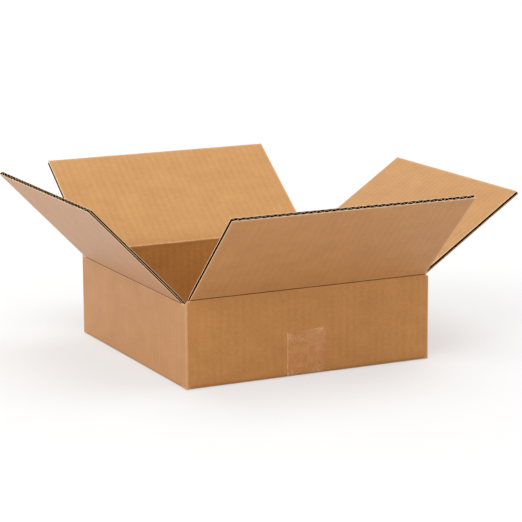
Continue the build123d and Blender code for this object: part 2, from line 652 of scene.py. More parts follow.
@dataclass(frozen=True)
class FlutePaintedShadeFinish(Finish):
    """The waved paper and the liners' hidden faces, painted near black as the shade inside the flutes, and
    dull.
    """

    name: str = "flute_painted_shade"
    # painted shade: near-black colours for the shade inside the flutes, not the paper's own brown
    dark: Colour = (0.012, 0.004, 0.001, 1)
    light: Colour = (0.035, 0.011, 0.003, 1)
    roughness: float = 0.9
    specular: float = 0.05
    relief: float = 0.00003
    fibre: Grain = Grain((500, 1900, 900), 4)

    def inputs(self, nodes: Nodes) -> Inputs:
        """Mix the two colours by the fibres.

        Args:
            nodes: The material's nodes.

        Returns:
            A value or a socket for each input.
        """
        fibre = nodes.noise(self.fibre)
        return {
            "Base Color": nodes.mix(fibre, self.dark, self.light),
            "Roughness": self.roughness,
            "Specular IOR Level": self.specular,
            "Normal": nodes.bump(fibre, self.relief),
        }


@dataclass(frozen=True)
class TapeFinish(Finish):
    """Frosted clear film: nearly clear where the glue has wetted the board, milky over trapped air.

    Its roughness and its veil, the share of the board that it hides, each have a value on wetted
    board and a rise over air. The frosting and the crinkles lift it from the board by turns.
    """

    name: str = "clear_tape"
    milky: Colour = (0.95, 0.6, 0.34, 1)
    wetted: Colour = (0.8, 0.37, 0.11, 1)
    roughness: tuple[float, float] = (0.45, 0.25)
    veil: tuple[float, float] = (0.08, 0.5)
    relief: float = 0.00003
    crinkle: Grain = Grain((430, 1200, 500), 2)
    airy: tuple[float, float] = (1.0, 1.6)
    lifted: tuple[float, float] = (0.15, 1.0)

    def inputs(self, nodes: Nodes) -> Inputs:
        """Mix wetted film with film over air, by the frosting and the crinkles.

        Args:
            nodes: The material's nodes.

        Returns:
            A value or a socket for each input.
        """
        crinkle = nodes.noise(self.crinkle)
        air = nodes.above(nodes.blended(*zip((nodes.wear[1], crinkle), self.airy)), self.lifted)
        rough, veil = (
            nodes.math("MULTIPLY_ADD", air, more, least) for least, more in (self.roughness, self.veil)
        )
        return {
            "Base Color": nodes.mix(air, self.wetted, self.milky),
            "Roughness": rough,
            "Alpha": veil,
            "Normal": nodes.bump(crinkle, self.relief),
        }


# The board and the sides of the box.


@dataclass(frozen=True)
class Board:
    """Single-wall corrugated board with C flutes.

    Attributes:
        thickness: Through the whole board.
        liner: Thickness of each liner.
        medium: Thickness of the waved paper.
        pitch: From one flute to the next.
        shift: How far the wave is shifted where the board was slotted, as a share of the pitch.
        washboard: How far a liner sinks between the crests that it is glued to.
        slack: How far either face sinks here and there over a wide area.
        slack_cell: How wide such an area is, across and along the flutes.
    """

    thickness: float = 3.8
    liner: float = 0.3
    medium: float = 0.27
    pitch: float = 7.9
    shift: float = 0.2
    washboard: float = 0.04
    slack: float = 0.16
    slack_cell: tuple[float, float] = (27.0, 41.0)

    def turn(self, across: Grid) -> Grid:
        """Give the angle of the flutes' wave, whose sine is 1 where the medium meets the inner liner."""
        return 2 * math.pi * (across / self.pitch + self.shift)

    def steps(self, width: float, per_flute: int) -> int:
        """Give how many steps a width takes, at about this many to a flute."""
        return math.ceil(width / self.pitch * per_flute)

    def sunk(self, flat: Grid, seed: Seed) -> Grid:
        """Give how far a face sinks, from 0 to the board's slack, by its place on the flat sheet."""
        return self.slack * (1 + uneven(flat[..., 0], flat[..., 1], (1.0, self.slack_cell, seed))) / 2


@dataclass(frozen=True)
class Patch:
    """One stretch of board: where its grid points lie and how deep its faces are there.

    Attributes:
        sheet: The bent sheet that it lies on.
        distance: Each point's distance along the section.
        across: Its distance beside the section.
        flute: Its place across the flutes, from the middle of its side.
        flat: Its place on the flat sheet, across and along the flutes.
        outer: The depth of the outer face, without the washboard.
        inner: The depth of the inner face, without the washboard.
        even: 1 where the washboard shows in full, 0 where the board is pressed smooth.
        outside: The outer face's press and painted shade, and its rub and painted highlight, on the last
            axis.
        inside: The same for the inner face.
    """

    sheet: Sheet
    distance: Grid
    across: Grid
    flute: Grid
    flat: Grid
    outer: Grid
    inner: Grid
    even: Grid
    outside: Grid
    inside: Grid

    def shell(self, mesh: PieceMesh, depths: tuple[Grid, Grid], wear: Grid, *surfaces: Surface) -> None:
        """Add the layer between two depths.

        Args:
            mesh: The mesh that takes the layer.
            depths: The depth of its lower and its upper face.
            wear: Each point's press and painted shade, its rub and painted highlight, and how far it is on a
                crest.
            surfaces: The finish of the lower face, the upper face and the rim.
        """
        faces = tuple(self.sheet.points(self.distance, self.across, depth) for depth in depths)
        sheet = tuple(np.concatenate([self.flat, depth[..., None]], -1) for depth in depths)
        mesh.add(faces, sheet, wear, surfaces)

    def liners(self, mesh: PieceMesh, board: Board) -> None:
        """Add both liners.

        A liner's face sinks between the crests: by the washboard's depth times half of one plus
        the wave outside, and half of one minus the wave inside.

        Args:
            mesh: The mesh that takes them.
            board: The board's sizes.
        """
        wave = np.sin(board.turn(self.flute))
        outer = self.outer + board.washboard * self.even * (1 + wave) / 2
        inner = self.inner - board.washboard * self.even * (1 - wave) / 2
        # crest channel: where the face stands out over a crest, which the liner finish paints lighter as
        # painted light
        outside = np.concatenate([self.outside, ((1 - wave) / 2 * self.even)[..., None]], -1)
        inside = np.concatenate([self.inside, ((1 + wave) / 2 * self.even)[..., None]], -1)
        self.shell(mesh, (outer, outer + board.liner), outside, Surface.OUTSIDE, Surface.FLUTE_SHADE, Surface.CUT)
        self.shell(mesh, (inner - board.liner, inner), inside, Surface.FLUTE_SHADE, Surface.INSIDE, Surface.CUT)

    def medium(self, mesh: PieceMesh, board: Board) -> None:
        """Add the waved paper.

        Its middle swings between the liners with the wave, and its faces lie half its thickness
        away, times the square root of one plus the slope squared, so it is equally thick all over.

        Args:
            mesh: The mesh that takes it.
            board: The board's sizes.
        """
        low = self.outer + board.liner + board.medium / 2
        high = self.inner - board.liner - board.medium / 2
        swing = np.maximum(high - low, 0.0) / 2
        turn = board.turn(self.flute)
        middle = (low + high) / 2 + swing * np.sin(turn)
        slope = swing * 2 * math.pi / board.pitch * np.cos(turn)
        half = board.medium / 2 * np.sqrt(1 + slope**2)
        wear = np.full((*middle.shape, 3), WAVED_MARK)
        self.shell(mesh, (middle - half, middle + half), wear, Surface.FLUTE_SHADE, Surface.FLUTE_SHADE, Surface.CUT)


@dataclass(frozen=True)
class Wear:
    """How the board is marked: pressed, folded and rubbed pale beside its cuts, with painted shade and
    highlight.

    Attributes:
        groove: The groove in a score's outer face, by its depth.
        corner_line: The dark line that lies this line_place beside an upright fold.
        ragged: How far a top flap's free edge wanders, in waves of ragged_cell, and how far from
            it the board's points follow.
    """

    groove: Mark = Mark(0.75, 0.38)
    # painted shade: the dark line in the score's groove
    score_painted_shade: Mark = Mark(0.97, 0.5)
    # a pressed line along the fold at the foot, with its painted contact shadow
    foot_press_and_painted_shadow: Mark = Mark(0.25, 1.2)
    cut_rub: Mark = Mark(0.9, 0.8)
    score_rub: Mark = Mark(0.2, 1.3)
    # rubbed fibres and a painted highlight along the inner ridge over a score
    ridge_rub_and_highlight: Mark = Mark(0.6, 0.8)
    corner_rub: Mark = Mark(0.3, 0.8)
    corner_line: Mark = Mark(0.15, 0.5)
    line_place: float = 0.6
    corner_dark_inside: float = 0.2
    tab_rub: Mark = Mark(0.6, 0.8)
    ragged: Mark = Mark(0.12, 6.0)
    ragged_cell: float = 1.9


@dataclass(frozen=True)
class Plan:
    """Sizes that every board piece shares.

    Attributes:
        fold_radii: The outer radius of the folds at the bottom, for the outer and the inner pair.
        fold_gap: How far short of a bottom fold's centre the board's inner face stays.
        corner_radius: The outer radius of the upright folds.
        crushed: How thick the board is left in an upright fold.
        crease_radius: The outer radius of a score's bend.
        score_reach: From where to where the board is pressed less and less beside a score.
        ridge_height: How far above a score the inner liner folds over the top of the wall.
        stretch: How far up the flap the inner liner is stretched straight from there.
        slot_depth: How far the slots beside a top flap run below its score.
        slot_clearance: The gap beside a top flap, where a slot was cut.
        slot_step: Between the two rows of points where a slot ends.
        smooth_reach: Between which distances from a side's ends the washboard dies out.
        uncut: How far from any cut a wall counts as being.
        seam_gap: Between the free edges of two bottom flaps.
        inner_layer: The height at which the front and back bottom flaps lie.
        slot_top: The height that the slots between the bottom flaps reach.
        climb: How steeply the front and back flaps climb onto the outer pair, in degrees.
        climb_radius: The radius of the bend at the top of that climb.
        tape_half: Half the width of the tape.
        per_flute: Steps to a flute in the liners and in the medium.
        wear: How the board is marked.
    """

    fold_radii: tuple[float, float] = (1.6, 2.6)
    fold_gap: float = 0.1
    corner_radius: float = 2.0
    crushed: float = 1.7
    crease_radius: float = 0.3
    score_reach: tuple[float, float] = (1.5, 5.4)
    ridge_height: float = 0.4
    stretch: float = 6.5
    slot_depth: float = 0.9
    slot_clearance: float = 0.3
    slot_step: float = 0.02
    smooth_reach: tuple[float, float] = (5.0, 1.0)
    uncut: float = 30.0
    seam_gap: float = 1.0
    inner_layer: float = 4.1
    slot_top: float = 2.9
    climb: float = 50.0
    climb_radius: float = 1.0
    tape_half: float = 25.0
    per_flute: tuple[int, int] = (7, 12)
    wear: Wear = Wear()


@dataclass(frozen=True)
class Side:
    """One side of the box, as its hinge and its flap in the frame give it.

    Attributes:
        plan: The shared sizes.
        board: The board.
        name: front, back, left or right.
        across: The direction along the score.
        outward: The direction out of the box.
        reach: From the box's middle to the outer face.
        crease: The height of the score.
        lean: How far the top flap leans out from upright, in degrees.
        flap_half: Half of the top flap's width.
        flap_length: From the score to the free edge.
        middle: Where the side's middle lies across the whole flat sheet.
        climbs: Whether its bottom flap climbs onto the outer pair.
    """

    plan: Plan
    board: Board
    name: str
    across: Grid
    outward: Grid
    reach: float
    crease: float
    lean: float
    flap_half: float
    flap_length: float
    middle: float
    climbs: bool

    @property
    def body(self) -> str:
        """The CAD body of the side's top flap."""
        return f"{self.name}_flap"

    @property
    def hinge(self) -> Grid:
        """A point on the score."""
        return self.outward * self.reach + UP * self.crease

    @property
    def flap_direction(self) -> Grid:
        """From the score to the flap's free edge."""
        lean = math.radians(self.lean)
        return self.outward * math.sin(lean) + UP * math.cos(lean)

    @property
    def slot_start(self) -> float:
        """Half of the width between the slots beside the top flap."""
        return self.flap_half + self.plan.slot_clearance

    @property
    def bend(self) -> tuple[float, float]:
        """How much of the flap and of the wall the score's bend takes, and the bend's length."""
        angle = math.radians(self.lean)
        return self.plan.crease_radius * math.tan(angle / 2), self.plan.crease_radius * angle

    @property
    def fold(self) -> tuple[float, float]:
        """The outer radius of the fold at the foot of the wall, and its turn in degrees."""
        return self.plan.fold_radii[self.climbs], 90.0 + self.plan.climb * self.climbs

    @cached_property
    def section(self) -> Section:
        """The outer face from the top flap's free edge, over the score and down to the seam.

        Depth is to the right of the line, into the board. A score bends to the left, the fold at
        the foot to the right. A bottom flap that climbs turns further, goes up and turns back.

        Returns:
            The section, on the outward and upward directions.
        """
        plan, lean = self.plan, math.radians(self.lean)
        spared, bend = self.bend
        radius, turn = self.fold
        runs = [(self.flap_length - spared, 0.0), (bend, self.lean), (self.crease - radius - spared, 0.0)]
        runs += [(radius * math.radians(turn), -turn)]
        level = self.reach - radius
        if self.climbs:
            climb = math.radians(plan.climb)
            kept = plan.climb_radius * math.tan(climb / 2)
            rise = (plan.inner_layer - radius * (1 - math.cos(climb))) / math.sin(climb)
            level -= radius * math.sin(climb) + rise * math.cos(climb) + kept
            runs += [(rise - kept, 0.0), (plan.climb_radius * climb, plan.climb)]
        runs += [(level - plan.seam_gap / 2, 0.0)]
        edge = (
            self.reach + self.flap_length * math.sin(lean),
            self.crease + self.flap_length * math.cos(lean),
        )
        return Section(edge, -90 - self.lean, tuple(runs))

    @property
    def score(self) -> float:
        """Where the middle of the score lies along the section."""
        spared, bend = self.bend
        return self.flap_length - spared + bend / 2

    @property
    def foot(self) -> float:
        """Where the slots beside the bottom flap start along the section."""
        return self.score + self.crease - self.plan.slot_top

    @property
    def crush(self) -> tuple[float, float]:
        """How thick the board is left in the fold at the foot, and how fast it thickens beside it."""
        radius, turn = self.fold
        return radius - self.plan.fold_gap, math.tan(math.radians(90 - turn / 2))

    def from_fold(self, distance: Grid) -> Grid:
        """Work out how far rows lie from the fold at the foot of the wall.

        Args:
            distance: Distances along the section.

        Returns:
            The distance from the fold's nearer end, or 0 inside it.
        """
        radius, turn = self.fold
        start = self.score + self.crease - radius
        return np.maximum(np.maximum(start - distance, distance - start - radius * math.radians(turn)), 0)

    def inner_face(self, distance: Grid) -> tuple[Grid, Grid]:
        """Work out how deep the inner face lies, and how far it is from the ridge over the score.

        Over the score it is the nearest of three planes along the board's normal: the wall's
        inner face, the flap's, and the plane that the liner is stretched along from the ridge.
        The depth of a plane below a point is n.(c - p) / n.d for the normal n, a point c on it, the
        point p and the direction d. At the foot the face stays clear of the fold's bisector.

        Args:
            distance: Distances along the section.

        Returns:
            The depth, and the distance from the ridge.
        """
        plan, thick = self.plan, self.board.thickness
        sine, cosine = math.sin(math.radians(self.lean)), math.cos(math.radians(self.lean))
        first, second, heading = self.section.at(distance)
        outer = np.stack([first, second], -1)
        inward = np.stack([np.sin(heading), -np.cos(heading)], -1)
        off_flap = np.array([-cosine, sine])
        ridge = np.array([self.reach - thick, self.crease + plan.ridge_height])
        far = np.array([self.reach + plan.stretch * sine, self.crease + plan.stretch * cosine])
        far = far + off_flap * thick
        stretched = np.array([ridge[1] - far[1], far[0] - ridge[0]])
        planes = ((np.array([-1.0, 0.0]), ridge), (off_flap, far), (stretched, ridge))
        nearest = np.min([(place - outer) @ normal / (inward @ normal) for normal, place in planes], 0)
        left, opening = self.crush
        depth = np.where(np.abs(distance - self.score) < 2 * plan.stretch, nearest, thick)
        depth = np.minimum(depth, left + self.from_fold(distance) * opening)
        return depth, np.linalg.norm(outer + inward * depth[..., None] - ridge, axis=-1)

    def patch(self, rows: Grid, layer: Layer, free_edge: bool = False) -> Patch:
        """Lay out a stretch of the side between two rows of its section.

        It is as wide as the slots leave it in the wall, and as wide as the flap elsewhere. In the
        score the outer face is pressed in by a narrow groove with painted shade, whose depth is a bell curve.

        Args:
            rows: Distances along the section.
            layer: The layers that it is for.
            free_edge: Whether the first row wanders in from a free edge.

        Returns:
            The patch.
        """
        plan, board, wear = self.plan, self.board, self.plan.wear
        in_wall = (rows > self.score + plan.slot_depth - plan.slot_step / 2) & (rows < self.foot)
        steps = board.steps(2 * self.flap_half, plan.per_flute[layer.value])
        share, distance = np.meshgrid(np.linspace(-1, 1, steps + 1), rows)
        across = share * np.where(in_wall, self.slot_start, self.flap_half)[:, None]
        if free_edge:
            wander = uneven(across, 0 * across, (1.0, (wear.ragged_cell, 1.0), Seed.FREE_EDGE))
            distance = distance + (1 + wander) / 2 * wear.ragged.sloping(distance)
        from_score = distance - self.score
        from_fold = self.from_fold(distance)
        flat = np.stack([across + self.middle, self.crease - from_score], -1)
        near, beside = np.abs(from_score), np.abs(across)
        depth, from_ridge = self.inner_face(distance)
        full = eased(near, *plan.score_reach) * eased(from_fold, 0, plan.score_reach[1])
        start, end = (self.flap_half - reach for reach in plan.smooth_reach)
        to_side = self.flap_half - beside + plan.uncut * (from_score > plan.slot_depth)
        cut = wear.cut_rub.fading(np.minimum(distance, to_side))
        # painted shade in the score's groove, and a pressed line with a painted contact shadow along the fold
        # at the foot
        pressed = wear.score_painted_shade.bell(near) + wear.foot_press_and_painted_shadow.bell(from_fold)
        return Patch(
            sheet=Sheet(self.section, self.outward, UP, self.across),
            distance=distance,
            across=across,
            flute=across,
            flat=flat,
            outer=board.sunk(flat, Seed.OUTER_FACE) * full + wear.groove.bell(near),
            inner=depth - board.sunk(flat, Seed.INNER_FACE) * full,
            even=(1 - eased(beside, start, end)) * full,
            outside=np.stack([pressed, np.maximum(cut, wear.score_rub.bell(near))], -1),
            # rubbed fibres beside the cuts, and rubbed fibres with a painted highlight along the inner ridge
            inside=np.stack([0 * near, np.maximum(cut, wear.ridge_rub_and_highlight.bell(from_ridge))], -1),
        )


class BoardPiece:
    """A piece of board, made of patches. It has a name and a board."""

    name: str
    board: Board

    def patches(self, layer: Layer) -> list[Patch]:
        """Lay out the piece for these layers of the board."""
        raise NotImplementedError

    def attach(self, piece: bpy.types.Object) -> None:
        """Let the piece ride on the box in place of the CAD body."""
        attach(piece, "box")
        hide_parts("box_body")

    def build(self, finishes: Sequence[bpy.types.Material]) -> bpy.types.Object:
        """Build the piece and join it to its body.

        Args:
            finishes: The materials, in the order of the surfaces' values.

        Returns:
            The piece.
        """
        mesh = PieceMesh()
        for patch in self.patches(Layer.LINERS):
            patch.liners(mesh, self.board)
        for patch in self.patches(Layer.MEDIUM):
            patch.medium(mesh, self.board)
        piece = mesh.build(self.name, finishes)
        self.attach(piece)
        return piece


@dataclass(frozen=True)
class SidePiece(BoardPiece):
    """A stretch of one side of the box, between two rows of its section.

    Attributes:
        side: The side.
        kind: What the piece's name adds to the side's.
    """

    side: Side
    kind: str

    @property
    def name(self) -> str:
        """The piece's name."""
        return f"{self.side.name}_{self.kind}"

    @property
    def board(self) -> Board:
        """The side's board."""
        return self.side.board


@dataclass(frozen=True)
class TopFlap(SidePiece):
    """A top flap beyond its score, with its flutes open at both sides and at its free edge.

    Its rows of points lie closer in the margins at its free edge and before the score.
    """

    kind: str = "flap_board"
    margins: tuple[float, float] = (3.0, 12.0)
    last: float = 6.0
    counts: tuple[int, ...] = (5, 4, 8, 3)

    def patches(self, layer: Layer) -> list[Patch]:
        """Lay out the flap from its ragged free edge to the pressed strip.

        Args:
            layer: The layers that it is for.

        Returns:
            The one patch.
        """
        side = self.side
        end = side.score - side.plan.score_reach[1]
        rows = rows_between((0.0, *self.margins, end - self.last, end), self.counts)
        return [side.patch(rows, layer, free_edge=True)]

    def attach(self, piece: bpy.types.Object) -> None:
        """Let the piece ride on its body in place of the CAD flap."""
        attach(piece, self.side.body)
        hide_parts(self.side.body)


@dataclass(frozen=True)
class Score(SidePiece):
    """The crushed strip of board that a top flap turns on.

    Its rows of points lie closer from a little above the bend on.
    """

    kind: str = "score"
    close: float = 1.2
    counts: tuple[int, ...] = (8, 6, 8, 4, 1, 8)

    @property
    def turning_reach(self) -> float:
        """How far to each side of the score the board would take part in the turn.

        It would take in all the board between the wall's normal and the flap's, so that none of it
        stands out of the corner when the flap is closed: thickness times tan(lean / 2).
        """
        return self.board.thickness * math.tan(math.radians(self.side.lean) / 2)

    def patches(self, layer: Layer) -> list[Patch]:
        """Lay out the strip, from the flap over the bend to the wall.

        Args:
            layer: The layers that it is for.

        Returns:
            The one patch.
        """
        side, plan, reach = self.side, self.side.plan, self.side.plan.score_reach[1]
        half, slot_end = side.bend[1] / 2, plan.slot_depth
        knots = (-reach, -self.close, -half, half, slot_end - plan.slot_step, slot_end, reach)
        return [side.patch(side.score + rows_between(knots, self.counts), layer)]

    def attach(self, piece: bpy.types.Object) -> None:
        """Bake the strip's place into its mesh; it is left unjoined to the box and the flap.

        Args:
            piece: The strip.
        """
        side = self.side
        below = (side.hinge - UP * self.turning_reach) * METRES
        above = (side.hinge + side.flap_direction * self.turning_reach) * METRES
        side.body
        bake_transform(piece)


@dataclass(frozen=True)
class Wall(SidePiece):
    """A wall and the bottom flap that it turns into.

    Its rows of points have counts of their own down to the end of the fold, and after it where the
    bottom flap climbs or lies flat. The outer face is pressed in under the tape.
    """

    kind: str = "wall"
    first: float = 6.0
    beside_tape: float = 1.0
    counts: tuple[int, ...] = (3, 8, 3, 1, 2, 10)
    climb_counts: tuple[int, ...] = (4, 6, 10)
    flat_counts: tuple[int, ...] = (3, 8, 5, 6)
    press: float = 0.13
    press_edge: tuple[float, float] = (0.1, 0.7)

    def pressed_flush(self, patch: Patch) -> Patch:
        """Sink the outer face under the tape along the bottom.

        Args:
            patch: The wall's patch.

        Returns:
            The same patch, its outer face deeper where the tape lies on the underside.
        """
        side = self.side
        outward, height = side.section.offset(patch.distance, 0 * patch.distance)
        from_middle = np.abs(patch.across) if side.climbs else outward
        start, end = (side.plan.tape_half + edge for edge in self.press_edge)
        under = (1 - eased(from_middle, start, end)) * (height < side.fold[0])
        return replace(patch, outer=patch.outer + self.press * under)

    def patches(self, layer: Layer) -> list[Patch]:
        """Lay out the wall, its fold at the foot and its bottom flap.

        Args:
            layer: The layers that it is for.

        Returns:
            The one patch.
        """
        side, plan, section = self.side, self.side.plan, self.side.section
        start = side.score + plan.score_reach[1]
        fold_start, fold_end = section.marks[2:4]
        left, opening = side.crush
        ramp = (self.board.thickness - left) / opening
        slot = (side.foot - plan.slot_step, side.foot)
        knots = (start, start + self.first, fold_start - ramp, *slot, fold_start, fold_end)
        if side.climbs:
            knots += (*section.marks[4:6], section.length)
            counts = self.counts + self.climb_counts
        else:
            tape_edge = section.length - plan.tape_half + plan.seam_gap / 2
            knots += (fold_end + ramp, tape_edge - self.beside_tape, tape_edge, section.length)
            counts = self.counts + self.flat_counts
        return [self.pressed_flush(side.patch(rows_between(knots, counts), layer))]


@dataclass(frozen=True)
class CornerFold(BoardPiece):
    """The rounded upright fold between two sides, from the slot in the bottom to the slot in the top.

    Attributes:
        before: The side that it starts on.
        after: The side that it ends on.
        joint_gap: The gap at the maker's joint, where the sheet's two ends meet, or 0.
        foot: The height of its cut lower end.
        rise: How far the slot's floor rises from a side score to the fold.
        crush_reach: How far beside the bend the board is still crushed.
    """

    before: Side
    after: Side
    joint_gap: float
    foot: float = 0.3
    rise: float = 0.6
    crush_reach: float = 3.0
    rows_per_mm: float = 2.4

    @property
    def name(self) -> str:
        """The piece's name."""
        return f"{self.before.name}_{self.after.name}_fold"

    @property
    def board(self) -> Board:
        """The sides' board."""
        return self.before.board

    @cached_property
    def straight(self) -> list[float]:
        """How far the board runs straight from each of the two slots to the bend."""
        radius = self.before.plan.corner_radius
        return [side.reach - radius - side.slot_start for side in (self.before, self.after)]

    @cached_property
    def section(self) -> Section:
        """The outer face, from one side's slot round the corner to the other's.

        Returns:
            The section, on the first side's own direction and outward from it.
        """
        arc = self.before.plan.corner_radius * math.pi / 2
        runs = ((self.straight[0], 0.0), (arc, -90.0), (self.straight[1], 0.0))
        return Section((self.before.slot_start, self.before.reach), 0.0, runs)

    def patches(self, layer: Layer) -> list[Patch]:
        """Divide the fold and the margins beside it, and cut them at the maker's joint.

        Args:
            layer: The layers that it is for; the medium's rows lie twice as close.

        Returns:
            One patch, or two where the sheet's ends meet.
        """
        start, end = self.section.marks[:2]
        cuts = [(0.0, self.section.length)]
        if self.joint_gap:
            cuts = [(0.0, start), (start + self.joint_gap, self.section.length)]
        made = []
        for first, last in cuts:
            knots = sorted({first, last, *(stop for stop in (start, end) if first < stop < last)})
            steps = [max(2, math.ceil((b - a) * self.rows_per_mm)) for a, b in zip(knots, knots[1:])]
            made.append(self.patch(rows_between(knots, [count * (1 + layer.value) for count in steps])))
        return made

    def patch(self, rows: Grid) -> Patch:
        """Lay out a stretch of the fold between two rows of its section.

        The inner face sinks to what the crease leaves of the board, eased over the last few
        millimetres before the bend and the first few after it. A stretch that doesn't reach the
        second side takes its grain from the first.

        Args:
            rows: Distances along the section.

        Returns:
            The patch.
        """
        before, after, board, section = self.before, self.after, self.board, self.section
        plan, wear = before.plan, before.plan.wear
        start, end = section.marks[:2]
        slot_end = start if before.crease < after.crease else end
        slot_floor = min(before.crease, after.crease) + self.rise
        stops, tops = (0, slot_end, section.length), (before.crease, slot_floor, after.crease)
        share, distance = np.meshgrid(height_shares(), rows)
        top = np.interp(distance, stops, tops)
        height = self.foot + (top - self.foot) * share
        across = after.middle - after.slot_start - (section.length - distance)
        if rows[-1] < section.length:
            across = before.middle + before.slot_start + distance
        flat = np.stack([across, height], -1)
        from_arc = np.maximum(np.maximum(start - distance, distance - end), 0)
        crush = 1 - eased(from_arc, 0, min(self.crush_reach, *self.straight))
        inner = board.thickness - board.sunk(flat, Seed.INNER_FACE)
        cut = wear.cut_rub.fading(np.minimum(top - height, height - self.foot))
        rubbed = np.maximum(cut, wear.corner_rub.sloping(from_arc))
        line = wear.corner_line.bell(from_arc - wear.line_place)
        return Patch(
            sheet=Sheet(section, before.across, before.outward, UP),
            distance=distance,
            across=height,
            flute=across,
            flat=flat,
            outer=board.sunk(flat, Seed.OUTER_FACE),
            inner=inner - (inner - plan.crushed) * crush,
            even=0 * distance,
            outside=np.stack([line, rubbed], -1),
            inside=np.stack([wear.corner_dark_inside * crush, rubbed], -1),
        )


@dataclass(frozen=True)
class GlueTab(BoardPiece):
    """The crushed tab at the maker's joint, glued inside the wall that it meets.

    Attributes:
        wall: The side that it is glued to.
        board: Its board, pressed thinner by the glue.
        width: From the corner to its free edge.
        slope: How steeply its ends taper, in degrees.
        top_gap: From its top to the board of the closed side flap.
        foot: The height of its lower end at the corner.
        pressed_edge: How far from its free edge the washboard is pressed out.
        washboard: How much of it is left elsewhere.
        sheet_gap: How far beyond the wall's own grain its grain is read.
    """

    wall: Side
    board: Board = field(default_factory=lambda: Board(thickness=2.8, slack=0.1))
    name: str = "glue_tab"
    width: float = 35.0
    slope: float = 12.0
    top_gap: float = 2.0
    foot: float = 9.9
    pressed_edge: float = 4.0
    washboard: float = 0.8
    sheet_gap: float = 60.0

    def patches(self, layer: Layer) -> list[Patch]:
        """Lay out the tab from its free edge to the corner; its ends rise and fall with the taper.

        Args:
            layer: The layers that it is for.

        Returns:
            The one patch.
        """
        wall, board, plan = self.wall, self.board, self.wall.plan
        corner = wall.reach - wall.board.thickness
        start = corner - self.width
        rows = np.linspace(0, self.width, board.steps(self.width, plan.per_flute[layer.value]))
        share, distance = np.meshgrid(height_shares(), rows)
        taper = (self.width - distance) * math.tan(math.radians(self.slope))
        low = self.foot + taper
        high = wall.crease - wall.board.thickness - self.top_gap - taper
        height = low + (high - low) * share
        flat = np.stack([wall.middle + start + distance + self.sheet_gap, height], -1)
        to_cut = np.minimum(np.minimum(distance, height - low), high - height)
        wear = np.stack([0 * distance, plan.wear.tab_rub.fading(to_cut)], -1)
        section = Section((start, corner), 0.0, ((self.width, 0.0),))
        return [
            Patch(
                sheet=Sheet(section, wall.across, wall.outward, UP),
                distance=distance,
                across=height,
                flute=distance,
                flat=flat,
                outer=0 * distance,
                inner=board.thickness - board.sunk(flat, Seed.TAB_FACE),
                even=eased(distance, 0, self.pressed_edge) * self.washboard,
                outside=wear,
                inside=wear,
            )
        ]


